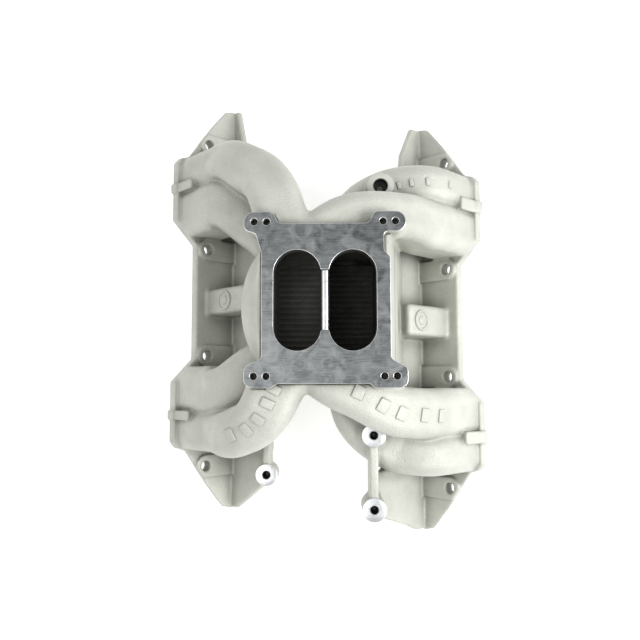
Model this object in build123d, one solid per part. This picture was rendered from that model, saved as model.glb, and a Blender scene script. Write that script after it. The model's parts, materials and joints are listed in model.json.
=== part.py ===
from build123d import *
import os
from math import sqrt

os.makedirs("parts", exist_ok=True)

# Two-level intake manifold for a V8 with 45 degree head faces. Sizes are in millimetres.
# Origin: centre of the carburettor face. +X right bank, +Y rear of the engine, +Z up.

# ---- carburettor face -------------------------------------------------------------
padWidth = 119.0
padLength = 148.0
padCentreY = -4.2
padCorner = 6.0
padThickness = 14.0
squareBoreX = 130.96
spreadBoreX = 107.95
studSpacingY = 142.88
studHoleRadius = 3.3
earRadius = 9.5
throatWidth = 44.5
throatLength = 93.4
throatGap = 7.2
throatCentreY = -1.6

# ---- head faces -------------------------------------------------------------------
flangeThickness = 9.9
creaseX = 107.0
creaseZ = -157.3
bankOffset = 11.75
rimWidth = 6.0
waistTop = 49.5
waistHalf = 60.0
shoulderHalf = 86.0
blockHalf = 156.4
earRootTop = 60.0
earTipHalf = 227.0
earTipTop = 3.0
portPairHalf = 121.92
portOffset = 16.0
portWidth = 26.0
portHeight = 56.0
portFoot = 13.0
portCorner = 6.0
boltNear = 58.8
boltFar = 177.4
boltHeight = 35.9
boltHoleRadius = 5.6
boltPadRadius = 12.0
boltPadRise = 3.0
dividerRibWidth = 12.0
dividerRibRise = 3.0
dividerRibLength = 34.0
dividerRibDepth = 14.0
returnThickness = 7.0
lugStart = 160.0
flangeChamfer = 8.0
flangeFillet = 5.0
valleyReach = 66.0

# ---- runners ----------------------------------------------------------------------
runnerWall = 5.5
highLevel = -37.0
lowLevel = -84.0
highPassageHeight = 36.0
lowPassageHeight = 30.0
passageWidth = 29.0
passageCorner = 9.0
outerCorner = 13.0
neckInset = 1.0
neckRise = 61.3
neckFall = -0.85
neckHeight = 50.0
neckExtra = 1.0
mouthLength = 8.0
overrun = 4.0

# ---- blank cast bars: runner, bar length, then (section, share of the way on) -------
badgeWidth = 12.0
badgeRise = 1.2
badgeSink = 3.0
badges = {
    "front_left_badge": (2, 8.0, [(1, 0.4), (1, 0.9), (2, 0.25), (2, 0.5), (2, 0.75)]),
    "front_right_badge": (3, 10.0, [(1, 0.65), (1, 0.92), (2, 0.25), (2, 0.55), (2, 0.85)]),
    "rear_casting_marks": (7, 4.0, [(2, 0.3), (2, 0.5), (2, 0.7), (2, 0.9)]),
}

# ---- plenum -----------------------------------------------------------------------
plenumLeft = -66.0
plenumRight = 63.0
plenumFront = -76.0
plenumRear = 69.0
plenumSplit = -59.0
plenumBottom = -108.0
plenumCorner = 12.0
cheekReach = 15.0
cheekBottom = -84.0
upperCavityLeft = -60.0
upperCavityFront = -62.0
upperCavityRear = 57.0
upperFloorTop = -55.0
lowerRoof = -63.0
lowerFloorTop = -100.0
lowerCavityLeft = -58.0
dividerDrop = 1.5
floorRibCount = 15
floorRibHeight = 2.0
floorRibWidth = 2.4
floorRibGap = 1.5
floorRibInset = 9.0
cavityMargin = 1.5
landOverlap = 3.0

# ---- exhaust heat crossover -------------------------------------------------------
crossHeight = 18.0
crossPortWidth = 20.0
crossWall = 6.0
crossTop = 36.0
crossHalf = 15.0
crossDuctZ = -121.0
crossDuctHeight = 14.0
crossDuctInset = 29.0
crossRampLength = 12.0
crossCorner = 3.0
crossReach = 62.0
markRadius = 11.0
markRise = 1.4
markReach = {"left": 33.0, "right": 46.0}

# ---- bosses -----------------------------------------------------------------------
bossTop = -52.0
frontLeftBossTop = -80.0
bossRadius = 11.6
frontLeftBossRadius = 11.0
bossHoleRadius = 4.0
bossHoleDepth = 12.0
frontLeftBossInset = 46.2
frontLeftBossY = -169.4
bracketBossInset = 60.6
upperBossY = -128.3
lowerBossY = -199.6
vacuumBoss = (55.3, 119.5)
vacuumBossRadius = 13.7
vacuumHoleRadius = 7.3
upperBossFoot = -90.0
lowerBossFoot = -104.0
frontLeftBossFoot = -118.0
vacuumBossFoot = -84.0
bossWebThickness = 6.5
bossWebDrop = 4.0
bracketWebFoot = -99.0
strutFoot = -114.0
strutReach = 40.0

# ---- corner lugs: reach of each return web at its tip and at its root, then its taper
lugReach = {
    "front_left": (11.0, 58.0),
    "rear_left": (6.0, 14.0),
    "front_right": (12.0, 72.0),
    "rear_right": (11.0, 26.0),
}
lugTaper = {
    "front_left": 37.0,
    "rear_left": 42.0,
    "front_right": 16.0,
    "rear_right": 37.0,
}
lugTipMargin = 3.0

# ---- worked out from the sizes above ----------------------------------------------
diagonal = 1 / sqrt(2)
throatX = (throatWidth + throatGap) / 2
studX = (squareBoreX + spreadBoreX) / 4
studSpread = (squareBoreX - spreadBoreX) / 2
beyond = 400.0
sliver = 30.0
smallSliver = 3.0
portCentre = portFoot + portHeight / 2
flangeTop = portFoot + portHeight + rimWidth
dividerRibTop = flangeTop + dividerRibRise
neckX = creaseX - neckInset
neckZ = creaseZ + neckRise
crossDuctX = creaseX - crossDuctInset
frontLeftBoss = (frontLeftBossInset - creaseX, frontLeftBossY)
upperBoss = (creaseX - bracketBossInset, upperBossY)
lowerBoss = (creaseX - bracketBossInset, lowerBossY)
sides = {"left": -1, "right": 1}
bankY = {"left": bankOffset, "right": -bankOffset}


def backPoint(side, height):
    """Point on the upper surface of a head flange, at a height up its slope."""
    return side * (creaseX + height * diagonal), creaseZ + height * diagonal


def flangePlane(name, depth=0.0):
    """Plane on a head face; local X climbs the slope and local Z leaves the manifold."""
    side = sides[name]
    reach = flangeThickness - depth
    origin = (side * (creaseX + reach * diagonal), bankY[name], creaseZ - reach * diagonal)
    return Plane(origin=origin, x_dir=(side, 0, 1), z_dir=(side, 0, -1))


def slab(name, low, high, alongLow, alongHigh, near, far):
    """Block in a bank's frame: up the slope, along the bank, and inward from the head face."""
    size = (high - low, alongHigh - alongLow, far - near)
    block = Box(*size, align=(Align.MIN, Align.MIN, Align.MAX))
    shift = -sides[name]
    start = alongLow if shift > 0 else -alongHigh
    return flangePlane(name) * Pos(low, start, -near) * block


def solidsOf(shape, smallest=sliver):
    """Solids of a cut shape, without slivers."""
    return [solid for solid in shape.solids() if solid.volume > smallest]


def cut(shape, tools):
    """Subtract each tool whose box reaches the shape."""
    for tool in tools:
        first = shape.bounding_box()
        second = tool.bounding_box()
        apart = (
            first.min.X > second.max.X or second.min.X > first.max.X
            or first.min.Y > second.max.Y or second.min.Y > first.max.Y
            or first.min.Z > second.max.Z or second.min.Z > first.max.Z
        )
        if not apart:
            shape = shape - tool
    return shape


def save(shape, name):
    pieces = solidsOf(shape)
    result = pieces[0] if len(pieces) == 1 else Compound(pieces)
    result.label = name
    export_step(result, f"parts/{name}.step")
    print(name, len(pieces), round(sum(p.volume for p in pieces)))


# ---- ducts: lofts through rounded rectangles --------------------------------------
def section(place, heading, width, height, corner):
    frame = Plane(origin=place, x_dir=Vector(*heading).cross(Vector(0, 0, 1)), z_dir=heading)
    radius = min(corner, 0.45 * min(width, height))
    return frame * RectangleRounded(width, height, radius)


def duct(stations):
    return loft([section(*station) for station in stations], ruled=True)


def portPlace(name, along, depth):
    """Centre of a port at a depth inward from the head face."""
    side = sides[name]
    x, z = backPoint(side, portCentre)
    step = (flangeThickness - depth) * diagonal
    return (x + side * step, bankY[name] + along, z - step)


# Each runner: bank, place along the bank, level, then its stations in plan from the plenum
# outwards as (x, y, heading x, heading y, drop below the level, fall of the heading).
runners = {
    8: ("left", portPairHalf + portOffset, "high",
        [(-26, 38, -0.15, 1, 0, 0), (-44, 88, -0.3, 1, 1, -0.05), (-66, 127, -0.8, 0.65, 12, -0.4)]),
    2: ("left", -portPairHalf - portOffset, "high",
        [(-26, -44, -0.15, -1, 0, 0), (-47, -88, -0.4, -1, 1, -0.05), (-67, -111, -0.85, -0.5, 10, -0.4)]),
    3: ("right", -portPairHalf + portOffset, "high",
        [(-20, -50, 0.45, -0.9, 0, 0), (18, -86, 0.9, -0.42, 1, -0.05), (66, -101, 1, -0.2, 14, -0.5)]),
    5: ("right", portPairHalf - portOffset, "high",
        [(-20, 44, 0.45, 0.9, 0, 0), (18, 79, 0.92, 0.35, 1, -0.05), (66, 89, 1, 0.1, 14, -0.5)]),
    4: ("left", -portPairHalf + portOffset, "low",
        [(-30, -34, -0.9, -0.45, 0, 0), (-66, -58, -0.85, -0.5, 2, -0.1)]),
    6: ("left", portPairHalf - portOffset, "low",
        [(-30, 40, -0.75, 0.65, 0, 0), (-66, 78, -0.75, 0.65, 2, -0.1)]),
    1: ("right", -portPairHalf - portOffset, "low",
        [(24, -42, 0.1, -1, 0, 0), (33, -104, 0.3, -1, 1, -0.05), (66, -142, 0.9, -0.45, 6, -0.25)]),
    7: ("right", portPairHalf + portOffset, "low",
        [(24, 38, 0.1, 1, 0, 0), (33, 92, 0.35, 1, 1, -0.05), (66, 121, 0.9, 0.4, 6, -0.25)]),
}


def runnerStations(number, wall):
    """Sections of one runner, grown by the wall for the outside and bare for the passage."""
    name, along, level, plan = runners[number]
    side = sides[name]
    base = highLevel if level == "high" else lowLevel
    height = highPassageHeight if level == "high" else lowPassageHeight
    corner = outerCorner if wall else passageCorner
    grow = 2 * wall
    stations = []
    for x, y, hx, hy, drop, fall in plan:
        place = (x, y, base - drop)
        stations.append((place, (hx, hy, fall), passageWidth + grow, height + grow, corner))
    neckPlace = (side * neckX, bankY[name] + along, neckZ)
    neckHeading = (side, 0, neckFall)
    stations.append((neckPlace, neckHeading, portWidth + neckExtra + grow, neckHeight + grow, corner))
    heading = (side, 0, -1)
    endDepth = flangeThickness if wall else -overrun
    endCorner = outerCorner if wall else portCorner
    for depth in (flangeThickness + mouthLength, endDepth):
        place = portPlace(name, along, depth)
        stations.append((place, heading, portWidth + grow, portHeight + grow, endCorner))
    return stations


passages = {number: duct(runnerStations(number, 0)) for number in runners}
runnerBodies = {number: duct(runnerStations(number, runnerWall)) for number in runners}

# ---- heat crossover: two ramps in the banks joined by a duct under the plenum --------
def crossStations(width, height, endDepth):
    stations = []
    for name in ("left", "right"):
        side = sides[name]
        ends = []
        for depth in (endDepth, flangeThickness + crossRampLength):
            x, z = backPoint(side, crossHeight)
            step = (flangeThickness - depth) * diagonal
            place = (x + side * step, bankY[name], z - step)
            ends.append((place, (1, 0, -side), width, height, crossCorner))
        flat = ((side * crossDuctX, bankY[name], crossDuctZ), (1, 0, 0), width, height, crossCorner)
        ends.append(flat)
        stations += ends if name == "left" else ends[::-1]
    return stations


crossPassage = duct(crossStations(crossPortWidth, crossDuctHeight, -overrun))
allPassages = list(passages.values()) + [crossPassage]

# ---- carburettor face ---------------------------------------------------------------
padOutline = Pos(0, padCentreY) * RectangleRounded(padWidth, padLength, padCorner)
for signX in (-1, 1):
    for signY in (-1, 1):
        ear = SlotCenterToCenter(studSpread, 2 * earRadius)
        padOutline += Pos(signX * studX, signY * studSpacingY / 2) * ear
padBody = Pos(0, 0, -padThickness) * extrude(padOutline, padThickness)
throat = SlotOverall(throatLength, throatWidth, rotation=90)
throats = []
for sign in (-1, 1):
    opening = Pos(sign * throatX, throatCentreY, -padThickness - 1) * throat
    throats.append(extrude(opening, padThickness + 2))
landLength = throatLength - throatWidth + 2 * landOverlap
land = Pos(0, throatCentreY, 0) * Box(throatGap, landLength, 3 * padThickness)
studHoles = []
for signX in (-1, 1):
    for signY in (-1, 1):
        for spacing in (squareBoreX, spreadBoreX):
            place = Pos(signX * spacing / 2, signY * studSpacingY / 2, 0)
            studHoles.append(place * Cylinder(studHoleRadius, 4 * padThickness))
carburettorFace = cut(padBody, throats + [land] + studHoles)
save(carburettorFace, "carburettor_flange")


# ---- plenum ---------------------------------------------------------------------------
def blockBetween(x, y, z):
    """Block between two places along each axis."""
    size = (x[1] - x[0], y[1] - y[0], z[1] - z[0])
    return Pos(x[0], y[0], z[0]) * Box(*size, align=(Align.MIN,) * 3)


coreWidth = plenumRight - plenumLeft
coreLength = plenumRear - plenumFront
coreOutline = Pos((plenumLeft + plenumRight) / 2, (plenumFront + plenumRear) / 2)
coreOutline *= RectangleRounded(coreWidth, coreLength, plenumCorner)
core = Pos(0, 0, plenumBottom) * extrude(coreOutline, -padThickness - plenumBottom)
cheekFront = Vector(plenumLeft, plenumFront + plenumCorner)
cheekRear = Vector(plenumLeft, plenumRear - plenumCorner)
cheekPeak = Vector(plenumLeft - cheekReach, (plenumFront + plenumRear) / 2)
cheekArc = ThreePointArc(cheekFront, cheekPeak, cheekRear)
cheekOutline = make_face(cheekArc + Line(cheekRear, cheekFront))
cheek = Pos(0, 0, cheekBottom) * extrude(cheekOutline, -padThickness - cheekBottom)
core = core + cheek
halfGap = throatGap / 2
cavityRight = throatX + throatWidth / 2 + cavityMargin
lowFront = throatCentreY - throatLength / 2 - cavityMargin
lowRear = throatCentreY + throatLength / 2 + cavityMargin
roof = -padThickness
upperSpan = (upperCavityLeft, -halfGap)
upperReach = (upperCavityFront, upperCavityRear)
upperCavity = blockBetween(upperSpan, upperReach, (upperFloorTop, roof))
deepCavity = blockBetween((halfGap, cavityRight), (lowFront, lowRear), (lowerFloorTop, roof))
lowSpan = (lowerCavityLeft, cavityRight)
lowerCavity = blockBetween(lowSpan, (lowFront, lowRear), (lowerFloorTop, lowerRoof))
dividerWall = blockBetween((-halfGap, halfGap), upperReach, (lowerRoof, roof))
dividerCap = Pos(0, throatCentreY, roof - 1) * Box(
    throatGap, landLength, padThickness - dividerDrop + 1, align=(Align.CENTER, Align.CENTER, Align.MIN)
)
capEdges = dividerCap.edges().filter_by(Axis.Y).group_by(Axis.Z)[-1]
dividerCap = fillet(capEdges, 0.4 * throatGap)
divider = dividerWall + dividerCap


def ribbedFloor(x, y, z, top):
    """Floor plate with evenly spaced ribs across it."""
    floor = blockBetween(x, y, z)
    pitch = (lowRear - lowFront - 2 * floorRibInset) / (floorRibCount - 1)
    for index in range(floorRibCount):
        middle = lowFront + floorRibInset + index * pitch
        ribY = (middle - floorRibWidth / 2, middle + floorRibWidth / 2)
        ribX = (max(x[0], -throatX - throatWidth / 2) + floorRibGap, x[1] - floorRibGap)
        floor += blockBetween(ribX, ribY, (top - 1, top + floorRibHeight))
    return floor


upperFloor = ribbedFloor(upperSpan, upperReach, (lowerRoof, upperFloorTop), upperFloorTop)
lowerFloor = ribbedFloor(lowSpan, (lowFront, lowRear), (plenumBottom, lowerFloorTop), lowerFloorTop)
floors = [divider, blockBetween(upperSpan, upperReach, (lowerRoof, upperFloorTop)),
          blockBetween(lowSpan, (lowFront, lowRear), (plenumBottom, lowerFloorTop))]
cavities = [upperCavity, deepCavity, lowerCavity]
shell = cut(core, cavities + floors + allPassages)
everywhere = (-beyond, beyond)
upperShell = shell - blockBetween(everywhere, everywhere, (-beyond, plenumSplit))
lowerShell = shell - blockBetween(everywhere, everywhere, (plenumSplit, beyond))
save(upperShell, "upper_plenum_wall")
save(lowerShell, "lower_plenum_wall")
save(cut(divider, allPassages), "plenum_divider")
save(cut(upperFloor, allPassages), "upper_plenum_floor")
save(cut(lowerFloor, allPassages), "lower_plenum_floor")


# ---- head flanges and corner lugs -----------------------------------------------------
def flangeOutline():
    """Outline of one head flange: height up the slope against place along the bank."""
    half = [
        (-returnThickness, earTipHalf),
        (earTipTop, earTipHalf),
        (earRootTop, blockHalf),
        (flangeTop, blockHalf - flangeChamfer),
        (flangeTop, shoulderHalf),
        (waistTop, waistHalf),
    ]
    points = half + [(high, -along) for high, along in reversed(half)]
    outline = make_face(Polyline(*points, close=True))
    return fillet(outline.vertices(), flangeFillet)


def portRows(width, height, corner):
    for pair in (-portPairHalf, portPairHalf):
        for offset in (-portOffset, portOffset):
            yield Pos(portCentre, pair + offset) * RectangleRounded(height, width, corner)


boltPlaces = [(boltHeight, sign * along) for sign in (-1, 1) for along in (boltNear, boltFar)]


def headFlange(name):
    plate = extrude(flangePlane(name) * flangeOutline(), -flangeThickness)
    holes = [flangePlane(name) * Pos(*p) * Cylinder(boltHoleRadius, 4 * flangeThickness) for p in boltPlaces]
    return cut(plate, holes + allPassages)


def flangeLengths(name, plate):
    """The plate in simple lengths: the waist, then the rails and posts round each pair of ports."""
    inner = portPairHalf - portOffset - portWidth / 2
    outer = portPairHalf + portOffset + portWidth / 2
    post = portOffset - portWidth / 2
    foot = portFoot + portCorner
    head = portFoot + portHeight - portCorner
    bars = [
        (-beyond, foot, inner, beyond),
        (head, beyond, inner, beyond),
        (foot, head, portPairHalf - post, portPairHalf + post),
        (foot, head, outer, beyond),
    ]
    lengths = solidsOf(plate & slab(name, *everywhere, -inner, inner, *everywhere))
    for sign in (-1, 1):
        for low, high, near, far in bars:
            along = sorted((sign * near, sign * far))
            lengths += solidsOf(plate & slab(name, low, high, *along, *everywhere))
    return lengths


def boltPads(name):
    """Raised pads round the bolt holes, running down to the crease."""
    pads = []
    for high, along in boltPlaces:
        outline = Pos(high, along) * Circle(boltPadRadius)
        outline += Pos(high / 2, along) * Rectangle(high, 2 * boltPadRadius)
        outline = (outline & flangeOutline()) - Pos(high, along) * Circle(boltHoleRadius)
        pad = extrude(flangePlane(name, flangeThickness) * outline, -boltPadRise)
        pads.append(pad)
    return pads


def returnPlane(name):
    side = sides[name]
    x, z = backPoint(side, 0)
    return Plane(origin=(x, bankY[name], z), x_dir=(-side, 0, 1), z_dir=(side, 0, 1))


def lugWeb(name, end):
    """Sloping web that closes the trough behind one corner lug."""
    turn = -sides[name] if end == "rear" else sides[name]
    tipReach, rootReach = lugReach[f"{end}_{name}"]
    rootHalf = earTipHalf - lugTaper[f"{end}_{name}"]
    points = [
        (0, lugStart),
        (rootReach, lugStart),
        (rootReach, rootHalf),
        (tipReach, earTipHalf - lugTipMargin),
        (0, earTipHalf - lugTipMargin),
    ]
    outline = make_face(Polyline(*[(u, turn * t) for u, t in points], close=True))
    return extrude(returnPlane(name) * outline, -returnThickness)


def pastLug(name, end):
    """Space beyond the line where one corner lug starts."""
    along = (lugStart, beyond) if end == "rear" else (-beyond, -lugStart)
    return slab(name, -beyond, beyond, *along, -beyond, beyond)


flanges = {name: headFlange(name) for name in sides}
lugs = {}
for name in sides:
    middle = flanges[name]
    for end in ("front", "rear"):
        space = pastLug(name, end)
        lugs[name, end] = (flanges[name] & space) + lugWeb(name, end)
        middle = middle - space
        save(lugs[name, end], f"{end}_{name}_lug")
    save(Compound(flangeLengths(name, middle)), f"{name}_head_flange")
    save(Compound(boltPads(name)), f"{name}_bolt_pads")

# ---- runners --------------------------------------------------------------------------
flangeFill = [slab(name, *everywhere, *everywhere, -beyond, flangeThickness) for name in sides]
solidCore = [core, padBody]
placed = []
for number in runners:
    body = cut(runnerBodies[number], solidCore + flangeFill + placed + allPassages)
    placed.append(runnerBodies[number])
    save(body, f"runner_{number}")

# ---- ribs that close the groove between the two runners of a pair ----------------------
for name in sides:
    ribs = []
    for pair in (-portPairHalf, portPairHalf):
        span = (pair - dividerRibWidth / 2, pair + dividerRibWidth / 2)
        rib = slab(name, flangeTop - dividerRibDepth, dividerRibTop, *span, 0, dividerRibLength)
        rib = cut(rib, [flanges[name]] + list(runnerBodies.values()) + allPassages)
        ribs += solidsOf(rib)
    save(Compound(ribs), f"{name}_divider_ribs")


# ---- blank raised bars along the tops of three runners ---------------------------------
def topFrame(number, index, share):
    """Plane on the crest of a runner, part of the way from one section to the next."""
    first, second = runnerStations(number, runnerWall)[index:index + 2]
    crests = []
    for place, heading, width, height, corner in (first, second):
        ahead = Vector(*heading).normalized()
        across = ahead.cross(Vector(0, 0, 1)).normalized()
        crests.append(Vector(*place) + across.cross(ahead) * (height / 2))
    ahead = (crests[1] - crests[0]).normalized()
    across = ahead.cross(Vector(0, 0, 1)).normalized()
    return Plane(origin=crests[0] + (crests[1] - crests[0]) * share, x_dir=ahead, z_dir=across.cross(ahead))


for name, (number, length, places) in badges.items():
    bars = []
    for index, share in places:
        bar = Box(length, badgeWidth, badgeSink + badgeRise, align=(Align.CENTER, Align.CENTER, Align.MIN))
        bar = topFrame(number, index, share) * Pos(0, 0, -badgeSink) * bar
        bars += solidsOf(cut(bar, [runnerBodies[number]] + solidCore), smallSliver)
    save(Compound(bars), name)

# ---- heat crossover bodies ------------------------------------------------------------
crossOuter = crossStations(crossPortWidth + 2 * crossWall, crossDuctHeight + 2 * crossWall, 0)
crossBody = duct(crossOuter[1:5])
crossCentre = crossBody & blockBetween((-crossDuctX, crossDuctX), everywhere, (-beyond, plenumBottom))
crossBlocks = {}
for name in sides:
    block = slab(name, 0, crossTop, -crossHalf, crossHalf, flangeThickness, flangeThickness + crossReach)
    crossBlocks[name] = cut(block, [crossCentre] + solidCore + allPassages)
    save(crossBlocks[name], f"{name}_heat_crossover")
save(cut(crossCentre, allPassages), "centre_heat_crossover")


def crossMark(name, reach):
    plane = returnPlane(name)
    disc = Cylinder(markRadius, markRise, align=(Align.CENTER, Align.CENTER, Align.MIN))
    return plane * Pos(reach, 0, crossTop) * disc


for name, reach in markReach.items():
    save(crossMark(name, reach), f"{name}_crossover_disc")

# ---- valley walls ---------------------------------------------------------------------
valleyWalls = []
for name in sides:
    wallEnd = flangeThickness + valleyReach
    wall = slab(name, -returnThickness, 0, -lugStart, lugStart, flangeThickness, wallEnd)
    wall = cut(wall, list(runnerBodies.values()) + [core, crossCentre] + allPassages)
    wall = wall - crossBlocks[name] - Compound(boltPads(name))
    valleyWalls.append(wall)
    save(wall, f"{name}_valley_wall")

# ---- bosses ---------------------------------------------------------------------------
bodies = list(runnerBodies.values())
lugBodies = list(lugs.values())


def column(place, radius, foot, top):
    """Upright round column between two heights."""
    return Pos(*place, foot) * Cylinder(radius, top - foot, align=(Align.CENTER, Align.CENTER, Align.MIN))


def boss(place, top, radius, holeRadius, foot):
    """Round boss with a blind hole, standing on what lies below it."""
    return column(place, radius, foot, top) - column(place, holeRadius, top - bossHoleDepth, top)


bossSpecs = {
    "bracket_boss_upper": (upperBoss, bossTop, bossRadius, bossHoleRadius, upperBossFoot),
    "bracket_boss_lower": (lowerBoss, bossTop, bossRadius, bossHoleRadius, lowerBossFoot),
    "front_left_boss": (frontLeftBoss, frontLeftBossTop, frontLeftBossRadius, bossHoleRadius, frontLeftBossFoot),
    "vacuum_boss": (vacuumBoss, bossTop, vacuumBossRadius, vacuumHoleRadius, vacuumBossFoot),
}
for name, spec in bossSpecs.items():
    save(cut(boss(*spec), bodies + [core] + lugBodies), name)


def bossWeb(place, alongLow, alongHigh, foot, top):
    """Upright strip that ties a boss to its neighbour."""
    x = (place[0] - bossWebThickness / 2, place[0] + bossWebThickness / 2)
    web = blockBetween(x, (alongLow, alongHigh), (foot, top - bossWebDrop))
    web = cut(web, bodies + [core] + lugBodies + valleyWalls)
    for centre, bossHigh, radius, hole, bossFoot in bossSpecs.values():
        web = cut(web, [column(centre, radius, bossFoot, bossHigh)])
    return web


save(bossWeb(upperBoss, lowerBoss[1], upperBoss[1], bracketWebFoot, bossTop), "bracket_boss_web")
strutEnd = frontLeftBoss[1] + strutReach
save(bossWeb(frontLeftBoss, frontLeftBoss[1], strutEnd, strutFoot, frontLeftBossTop), "front_left_boss_web")
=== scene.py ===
import json
from math import atan2, cos, pi, radians, sin, sqrt

import bmesh
import bpy
import numpy as np
from mathutils import Matrix, Vector


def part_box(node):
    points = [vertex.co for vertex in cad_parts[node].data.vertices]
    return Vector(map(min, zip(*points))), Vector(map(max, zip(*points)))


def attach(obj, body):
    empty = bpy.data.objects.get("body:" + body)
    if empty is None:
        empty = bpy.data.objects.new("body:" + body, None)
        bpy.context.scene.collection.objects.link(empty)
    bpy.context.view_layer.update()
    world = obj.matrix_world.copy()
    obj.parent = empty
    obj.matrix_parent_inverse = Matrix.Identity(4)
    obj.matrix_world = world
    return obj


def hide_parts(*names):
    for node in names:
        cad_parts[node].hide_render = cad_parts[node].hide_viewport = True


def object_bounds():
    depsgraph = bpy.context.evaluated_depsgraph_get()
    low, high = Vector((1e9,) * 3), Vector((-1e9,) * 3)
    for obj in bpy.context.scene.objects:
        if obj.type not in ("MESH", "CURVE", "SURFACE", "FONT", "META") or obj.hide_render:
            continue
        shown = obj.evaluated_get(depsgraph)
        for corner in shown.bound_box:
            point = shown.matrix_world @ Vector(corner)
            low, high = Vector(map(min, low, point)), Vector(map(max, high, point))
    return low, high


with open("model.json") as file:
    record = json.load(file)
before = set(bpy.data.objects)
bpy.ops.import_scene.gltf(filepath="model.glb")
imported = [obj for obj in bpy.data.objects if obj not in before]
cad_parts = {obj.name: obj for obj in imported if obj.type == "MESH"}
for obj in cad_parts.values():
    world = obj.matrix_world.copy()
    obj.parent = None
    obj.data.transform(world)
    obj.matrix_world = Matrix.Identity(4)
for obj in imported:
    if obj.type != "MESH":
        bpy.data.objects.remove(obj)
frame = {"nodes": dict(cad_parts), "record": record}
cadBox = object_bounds()
print("frame loaded")

mm = 0.001
diagonal = 1 / sqrt(2)
sides = {"left": -1, "right": 1}


# places read from the frame, in millimetres
def boxOf(node):
    low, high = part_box(node)
    return np.array(low) / mm, np.array(high) / mm


mounts = {m["name"]: m for m in frame["record"]["mounts"]}


def placeOf(mount):
    return np.array(mounts[mount]["pos_m"]) / mm


bankY = {}
for name in sides:
    bankY[name] = (placeOf(f"{name}_bolt_front_far")[1] + placeOf(f"{name}_bolt_rear_far")[1]) / 2

flange = {
    "thickness": 9.9,
    "creaseX": 107.0, "creaseZ": -157.3,   # where the flange back meets the sloping web
    "top": 75.2, "waistTop": 49.5,         # heights up the slope
    "waistHalf": 62, "shoulderHalf": 87,   # where the rim drops between the port pairs
    "blockHalf": 155, "earRoot": 62, "tip": 226, "tipTop": 3, "earDraft": 0.4,
    "pair": 121.92, "port": (56, 26), "portHeight": 41, "portOffset": 16,
    "holeRadius": 5.6, "padRadius": 12.2, "padRise": 3.4,
    "webThickness": 7.0,
}


# the casting as one smooth field on an even grid
field = {
    "step": 1.6,
    "margin": 5.0,
    "far": 60.0,
}
low = np.array(cadBox[0]) / mm - field["margin"]
high = np.array(cadBox[1]) / mm + field["margin"]
step = field["step"]
counts = np.ceil((high - low) / step).astype(int) + 1
axes = [(low[i] + step * np.arange(counts[i])).astype(np.float32) for i in range(3)]
distance = np.full(counts, field["far"], np.float32)
nearest = np.full(counts, field["far"], np.float32)
owner = np.zeros(counts, np.uint8)
owners = ["outside"]


def cellsIn(lowCorner, highCorner, spare):
    # the part of the grid that a body can reach, with its coordinates
    first = np.floor((np.array(lowCorner) - spare - low) / step).astype(int)
    last = np.ceil((np.array(highCorner) + spare - low) / step).astype(int) + 1
    first = np.clip(first, 0, counts)
    last = np.clip(last, 0, counts)
    part = tuple(slice(a, b) for a, b in zip(first, last))
    x = axes[0][part[0]][:, None, None]
    y = axes[1][part[1]][None, :, None]
    z = axes[2][part[2]][None, None, :]
    return part, x, y, z


def blendLow(a, b, radius):
    bridge = np.maximum(radius - np.abs(a - b), 0)
    return np.minimum(a, b) - bridge * bridge / (4 * radius)


def add(name, lowCorner, highCorner, shape, radius, bias=0.0):
    # joins a body to the casting with a cast fillet; the closest body owns each bit of metal
    if name not in owners:
        owners.append(name)
    part, x, y, z = cellsIn(lowCorner, highCorner, radius + 3 * step)
    own = shape(x, y, z).astype(np.float32)
    own = np.broadcast_to(own, distance[part].shape)
    closer = own + bias < nearest[part]
    nearest[part] = np.where(closer, own + bias, nearest[part])
    owner[part] = np.where(closer, owners.index(name), owner[part])
    distance[part] = blendLow(distance[part], own, radius)


def carve(lowCorner, highCorner, shape, radius=1.0):
    # cuts a hollow out of the casting
    part, x, y, z = cellsIn(lowCorner, highCorner, radius + 3 * step)
    own = shape(x, y, z).astype(np.float32)
    own = np.broadcast_to(own, distance[part].shape)
    distance[part] = -blendLow(-distance[part], own, radius)


# plain bodies
def roundOff(ways, radius):
    # joins distances along several directions into one body with rounded edges
    drawnIn = [way + radius for way in ways]
    outside = np.sqrt(sum(np.maximum(way, 0) ** 2 for way in drawnIn))
    deepest = drawnIn[0]
    for way in drawnIn[1:]:
        deepest = np.maximum(deepest, way)
    return outside + np.minimum(deepest, 0) - radius


def between(value, start, end):
    # distance past the nearer of two limits
    return np.abs(value - (start + end) / 2) - (end - start) / 2


def roundedBlock(centre, half, radius):
    def shape(x, y, z):
        return roundOff([np.abs(v - c) - h for v, c, h in zip((x, y, z), centre, half)], radius)
    return shape


def uprightPost(place, bottom, top, radius, edge=0.8):
    def shape(x, y, z):
        across = np.sqrt((x - place[0]) ** 2 + (y - place[1]) ** 2) - radius
        return roundOff([across, between(z, bottom, top)], edge)
    return shape


def postBox(place, bottom, top, radius):
    return (place[0] - radius, place[1] - radius, bottom), (place[0] + radius, place[1] + radius, top)


def barrel(centre, radii):
    def shape(x, y, z):
        px, py, pz = (x - centre[0]) / radii[0], (y - centre[1]) / radii[1], (z - centre[2]) / radii[2]
        k0 = np.sqrt(px * px + py * py + pz * pz)
        k1 = np.sqrt((px / radii[0]) ** 2 + (py / radii[1]) ** 2 + (pz / radii[2]) ** 2)
        return k0 * (k0 - 1) / np.maximum(k1, 1e-6)
    return shape


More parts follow.
